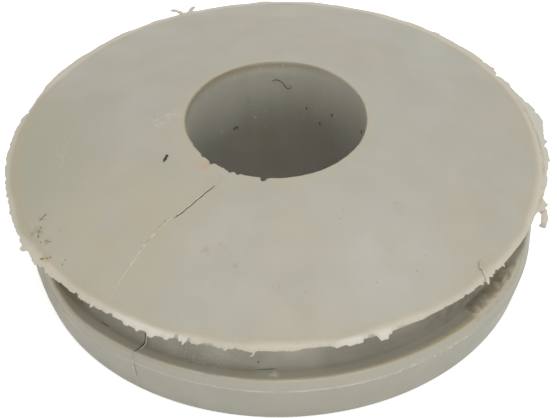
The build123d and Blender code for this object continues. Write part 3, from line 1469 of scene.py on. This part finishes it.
    def scraps(self) -> tuple[Strand, ...]:
        """Lists the tabs, tufts and threads that hang off the flash.

        Returns:
            The scraps.
        """
        s = self.sizes
        return (
            Strand(
                "flash_hook",
                (
                    at(14.85, 75.0, 6.2), at(15.12, 74.9, 6.12), at(15.32, 74.2, 6.0), at(15.42, 73.0, 5.88),
                    at(15.44, 72.0, 5.76), at(15.4, 71.2, 5.66),
                ),
                0.42, 0.07, sides=10, steps=40, ends=(1.0, 0.75), fade=0.12, rough=0.35, lump=0.22, seed=31.0,
            ),
            Strand(
                "flash_barb", (at(14.95, 75.2, 6.16), at(15.22, 75.8, 6.1), at(15.4, 76.8, 6.12)),
                0.22, 0.07, sides=8, steps=24, ends=(0.9, 0.25), rough=0.4, lump=0.2, seed=32.0,
            ),
            Strand(
                "flash_tuft_left", (at(14.9, -159.5, 6.3), at(15.4, -158.4, 6.3), at(15.72, -157.2, 6.25)),
                0.26, 0.1, sides=8, steps=30, ends=(0.8, 0.2), rough=0.5, lump=0.25, seed=33.0,
            ),
            Strand(
                "flash_tuft_right", (at(14.9, -160.5, 6.3), at(15.3, -161.8, 6.3), at(15.55, -162.8, 6.22)),
                0.22, 0.1, sides=8, steps=30, ends=(0.8, 0.2), rough=0.5, lump=0.25, seed=34.0,
            ),
            Strand(
                "flash_thread",
                (at(14.8, -5.1, 6.2), at(14.98, -5.2, 6.08), at(15.05, -5.5, 5.98), at(15.05, -6.0, 5.92)),
                0.1, 0.06, sides=8, steps=24, ends=(0.9, 0.3), rough=0.3, lump=0.2, seed=35.0,
            ),
            Strand(
                "flash_shaving",
                (
                    s.on_dome(14.16, 50.5, 0.05), s.on_dome(14.3, 49.8, 0.1), s.on_dome(14.6, 49.4, 0.05),
                    s.on_dome(14.9, 48.9, 0.03), at(15.12, 48.4, 6.16),
                ),
                0.19, 0.12, sides=8, steps=50, ends=(0.6, 0.6), rough=0.7, lump=0.22, wander=0.04, seed=36.0,
            ),
            Strand(
                "flash_shaving_curl",
                (
                    s.on_dome(14.1, 51.4, 0.02), s.on_dome(14.12, 50.7, 0.1), s.on_dome(14.22, 50.1, 0.12),
                    s.on_dome(14.4, 49.9, 0.05),
                ),
                0.13, 0.1, sides=8, steps=40, ends=(0.5, 0.4), rough=0.7, lump=0.15, wander=0.03, seed=38.0,
            ),
        )

    def build(self, finish: Material) -> None:
        """Makes the band and its scraps.

        Args:
            finish: The flash's material.
        """
        hand_in(self.ring(), finish, 60.0)
        for scrap in self.scraps():
            hand_in(scrap.make(), finish)


# ---------------------------------------------------------------- lint and grit


@dataclass(frozen=True)
class Fleck:
    """A small bit of dirt: its two ends in metres, and its width in millimetres."""

    start: Vector
    end: Vector
    width: float

    def strand(self, name: str, seed: float) -> Strand:
        """Gives the strand that makes it.

        Args:
            name: The piece's name.
            seed: Picks its noise.

        Returns:
            The strand.
        """
        line = (self.start, (self.start + self.end) / 2.0, self.end)
        return Strand(
            name, line, self.width, self.width * 0.6,
            sides=8, steps=12, ends=(0.35, 0.35), rough=0.6, lump=0.12, wander=0.02, seed=seed,
        )


@dataclass(frozen=True)
class Debris:
    """The lint, grit and specks that lie on the grommet."""

    sizes: Sizes

    def lint(self) -> Strand:
        """Gives the curled dark fibre on the bore's far wall.

        Returns:
            The fibre.
        """
        places_on_wall = (
            (-178.7, 8.34), (179.6, 8.43), (177.5, 8.45), (175.5, 8.34), (173.8, 8.19), (172.6, 7.98),
            (170.9, 7.83), (169.2, 7.89), (168.5, 8.14),
        )
        curl = tuple(at(self.sizes.bore - 0.04, bearing, height) for bearing, height in places_on_wall)
        return Strand("lint_fibre", curl, 0.04, 0.04, steps=90, ends=(0.6, 0.5), seed=41.0)

    def flecks(self) -> tuple[Fleck, ...]:
        """Lists the dark flecks on the dome and in the bore.

        Returns:
            The flecks.
        """
        on, hole, left = self.sizes.on_dome, self.sizes.bore - 0.01, self.sizes.bore - 0.06
        return (
            Fleck(on(6.84, -63.5), on(6.42, -66.6), 0.15),
            Fleck(at(left, -152.8, 5.56), at(left, -154.8, 5.34), 0.12),
            Fleck(at(left, -151.2, 5.42), at(left, -153.0, 5.34), 0.08),
            Fleck(at(left, -162.2, 7.16), at(left, -162.6, 7.06), 0.05),
            Fleck(at(hole, 158.7, 6.62), at(hole, 158.2, 6.5), 0.08),
            Fleck(at(hole, 149.0, 5.84), at(hole, 148.8, 5.58), 0.07),
            Fleck(at(hole, 139.4, 6.8), at(hole, 138.8, 6.58), 0.06),
            Fleck(at(left, -128.2, 7.64), at(left, -128.8, 7.54), 0.06),
            Fleck(at(hole, 103.7, 7.8), at(hole, 103.9, 7.4), 0.05),
        )

    def groove_flecks(self) -> tuple[Fleck, ...]:
        """Lists the olive flecks that lie in the groove.

        Returns:
            The flecks.
        """
        return (
            Fleck(at(13.5, -45.7, 3.44), at(13.48, -42.6, 3.42), 0.055),
            Fleck(at(13.4, -53.8, 3.52), at(13.4, -52.6, 3.5), 0.045),
            Fleck(at(13.5, -5.4, 3.47), at(13.46, -0.6, 3.49), 0.04),
        )

    def crumbs(self) -> tuple[Fleck, ...]:
        """Lists the brown crumbs of dirt, most of them near the head's edge.

        Returns:
            The crumbs.
        """
        on = self.sizes.on_dome
        return (
            Fleck(on(13.4, -70.1), on(13.62, -69.8), 0.07), Fleck(on(13.66, -69.7), on(13.86, -69.4), 0.06),
            Fleck(on(13.9, -67.5), on(14.05, -66.9), 0.05), Fleck(on(14.12, -66.9), on(14.22, -66.2), 0.06),
            Fleck(on(14.26, -65.8), on(14.36, -65.1), 0.07), Fleck(on(14.02, -66.2), on(14.08, -65.9), 0.04),
            Fleck(on(14.12, -63.1), on(14.07, -62.7), 0.07), Fleck(on(14.02, -62.3), on(13.95, -61.7), 0.05),
            Fleck(on(14.36, -63.9), on(14.4, -63.5), 0.05),
            Fleck(on(14.9, -59.8, 0.03), on(14.74, -59.2, 0.02), 0.06),
            Fleck(on(14.66, -58.9, 0.02), on(14.56, -58.6, 0.02), 0.05),
            Fleck(on(14.5, -58.5), on(14.4, -58.2), 0.05),
            Fleck(on(13.98, -54.9), on(14.06, -54.7), 0.05), Fleck(on(14.22, -54.6), on(14.32, -54.4), 0.045),
            Fleck(on(14.5, -67.4), on(14.56, -66.9), 0.04), Fleck(on(13.2, -63.0), on(13.24, -62.7), 0.04),
            Fleck(on(8.3, 24.0), on(8.34, 24.3), 0.045), Fleck(on(12.3, 25.0), on(12.32, 25.3), 0.045),
            Fleck(on(12.6, 36.0), on(12.62, 36.3), 0.05), Fleck(on(7.9, 27.0), on(7.92, 27.4), 0.04),
            Fleck(on(11.6, -95.0), on(11.64, -94.8), 0.04), Fleck(on(14.5, 36.7), on(14.52, 37.0), 0.05),
        )

    def build(
        self,
        dark: Material,
        olive: Material,
        brown: Material,
        red: Material,
    ) -> None:
        """Makes the fibre, the flecks and the crumbs.

        Args:
            dark: The material of the fibre and flecks.
            olive: The material of the groove's flecks.
            brown: The material of the crumbs.
            red: The material of the one rusty speck in the groove.
        """
        hand_in(self.lint().make(), dark)
        for count, fleck in enumerate(self.flecks()):
            hand_in(fleck.strand(f"fleck_{count + 1}", 50.0 + count).make(), dark)
        for count, fleck in enumerate(self.groove_flecks()):
            hand_in(fleck.strand(f"groove_fleck_{count + 1}", 70.0 + count).make(), olive)
        for count, crumb in enumerate(self.crumbs()):
            hand_in(crumb.strand(f"crumb_{count + 1}", 80.0 + count).make(), brown)
        rust = Fleck(at(13.26, -5.2, 3.8), at(13.26, -4.7, 3.78), 0.08)
        hand_in(rust.strand("rust_speck", 99.0).make(), red)


# ---------------------------------------------------------------- the stage


class LampPlace(Enum):
    """Where each lamp stands, in metres."""

    OVERHEAD = (0.05, -0.10, 0.42)
    FRONT = (0.12, -0.40, 0.22)


@dataclass(frozen=True)
class Lamp:
    """A square soft lamp that points at the grommet: its place, its width in metres, its watts."""

    place: LampPlace
    width: float
    watts: float

    def build(self) -> None:
        """Makes the lamp."""
        light = bpy.data.lights.new(self.place.name.lower(), "AREA")
        light.size = self.width
        light.energy = self.watts
        lamp = bpy.data.objects.new(light.name, light)
        bpy.context.scene.collection.objects.link(lamp)
        lamp.location = self.place.value
        lamp.rotation_euler = (-Vector(self.place.value)).to_track_quat("-Z", "Y").to_euler()


@dataclass(frozen=True)
class Studio:
    """The pale floor, the soft light and the camera.

    Attributes:
        ambient: The strength of the light from all round.
        lamps: The soft lamps.
        eye: Where the camera is, in millimetres.
        pan: How many degrees it turns towards +X.
        tilt: How many degrees it looks down.
        roll: How many degrees it leans.
        lens: Its focal length in millimetres, on a sensor 36 mm wide.
    """

    ambient: float = 0.62
    lamps: tuple[Lamp, ...] = (
        Lamp(LampPlace.OVERHEAD, 0.3, 0.45),
        Lamp(LampPlace.FRONT, 0.25, 0.3),
    )
    eye: tuple[float, float, float] = (0.0, -133.85, 120.35)
    pan: float = 0.05
    tilt: float = 41.23
    roll: float = -1.15
    lens: float = 202.8

    def backdrop_share(self, nodes: bpy.types.Nodes, links: bpy.types.NodeLinks) -> Socket:
        """Tells the rays that see the backdrop from those that only carry its light.

        Args:
            nodes: The nodes of the material or world.
            links: The links between them.

        Returns:
            A socket that is 1 for the camera's rays and for glossy and transmitted ones.
        """
        path = nodes.new("ShaderNodeLightPath")
        total = path.outputs["Is Camera Ray"]
        for name in ("Is Glossy Ray", "Is Transmission Ray"):
            add = nodes.new("ShaderNodeMath")
            add.operation = "MAXIMUM"
            links.new(total, add.inputs[0])
            links.new(path.outputs[name], add.inputs[1])
            total = add.outputs[0]
        return total

    def world(self) -> None:
        """Makes a white backdrop that lights the grommet at the ambient strength."""
        world = bpy.data.worlds.new("studio")
        world.use_nodes = True
        bpy.context.scene.world = world
        nodes, links = world.node_tree.nodes, world.node_tree.links
        ground = nodes["Background"]
        ground.inputs["Color"].default_value = (1.0, 1.0, 1.0, 1.0)
        ground.inputs["Strength"].default_value = self.ambient
        white = nodes.new("ShaderNodeBackground")
        white.inputs["Strength"].default_value = 1.0
        white.inputs["Color"].default_value = (1.0, 1.0, 1.0, 1.0)
        blend = nodes.new("ShaderNodeMixShader")
        links.new(self.backdrop_share(nodes, links), blend.inputs[0])
        links.new(ground.outputs[0], blend.inputs[1])
        links.new(white.outputs[0], blend.inputs[2])
        links.new(blend.outputs[0], nodes["World Output"].inputs["Surface"])

    def floor(self, glow: float = 0.62, gap: float = 0.02) -> None:
        """Lays a pale floor that looks white but keeps the grommet's shadow.

        Args:
            glow: How much of the floor's white the camera sees whatever the light.
            gap: How far it lies below the foot, in millimetres, so that the two never coincide.
        """
        bpy.ops.object.select_all(action="DESELECT")
        bpy.ops.mesh.primitive_plane_add(size=1.2, location=(0.0, 0.0, -gap * MM))
        bpy.ops.object.transform_apply(location=True)
        floor = bpy.context.object
        floor.name = "floor"
        material = bpy.data.materials.new("floor_white")
        material.use_nodes = True
        nodes, links = material.node_tree.nodes, material.node_tree.links
        shader = nodes["Principled BSDF"]
        shader.inputs["Base Color"].default_value = (0.8, 0.8, 0.8, 1.0)
        shader.inputs["Roughness"].default_value = 0.9
        white = nodes.new("ShaderNodeEmission")
        links.new(self.backdrop_share(nodes, links), white.inputs["Strength"])
        white.inputs["Color"].default_value = (glow, glow, glow, 1.0)
        both = nodes.new("ShaderNodeAddShader")
        links.new(shader.outputs[0], both.inputs[0])
        links.new(white.outputs[0], both.inputs[1])
        links.new(both.outputs[0], nodes["Material Output"].inputs["Surface"])
        floor.data.materials.append(material)

    def camera(self) -> None:
        """Sets the camera at its place, tilted and leaning."""
        data = bpy.data.cameras.new("camera")
        data.lens = self.lens
        data.sensor_width = 36.0
        data.clip_start = 0.01
        camera = bpy.data.objects.new("camera", data)
        bpy.context.scene.collection.objects.link(camera)
        aim = Matrix.Rotation(math.radians(-self.pan), 3, "Z")
        aim @= Matrix.Rotation(math.radians(90.0 - self.tilt), 3, "X")
        aim @= Matrix.Rotation(math.radians(self.roll), 3, "Z")
        camera.matrix_world = Matrix.Translation(Vector(self.eye) * MM) @ aim.to_4x4()
        bpy.context.scene.camera = camera

    def build(self) -> None:
        """Builds the stage."""
        bpy.context.scene.view_settings.view_transform = "Standard"
        self.world()
        self.floor()
        for lamp in self.lamps:
            lamp.build()
        self.camera()


def main() -> None:
    """Builds the grommet's pieces and the stage, in order."""
    logging.basicConfig(level=logging.INFO, format="%(name)s %(message)s")
    sizes = Sizes.from_frame()
    cracks = Cracks(sizes)
    torn = PlainFinish("torn_rubber", (208, 200, 177), (190, 181, 157), 0.3)
    dark = PlainFinish("dark_dirt", (70, 66, 56), (52, 50, 44), 0.2, 0.8)
    brown = PlainFinish("brown_dirt", (136, 122, 92), (106, 95, 70), 0.1, 0.8)
    olive = PlainFinish("olive_dirt", (96, 95, 80), (80, 79, 66), 0.2, 0.8)
    rust = PlainFinish("rust", (112, 72, 60), (92, 60, 52), 0.1, 0.8)
    rubber = AgedRubber(sizes).build()
    Studio().build()
    Moulding(sizes).build(rubber, cracks.blades())
    cracks.build(torn.build())
    Flash(sizes).build(rubber)
    Debris(sizes).build(dark.build(), olive.build(), brown.build(), rust.build())


if __name__ == "__main__":
    main()
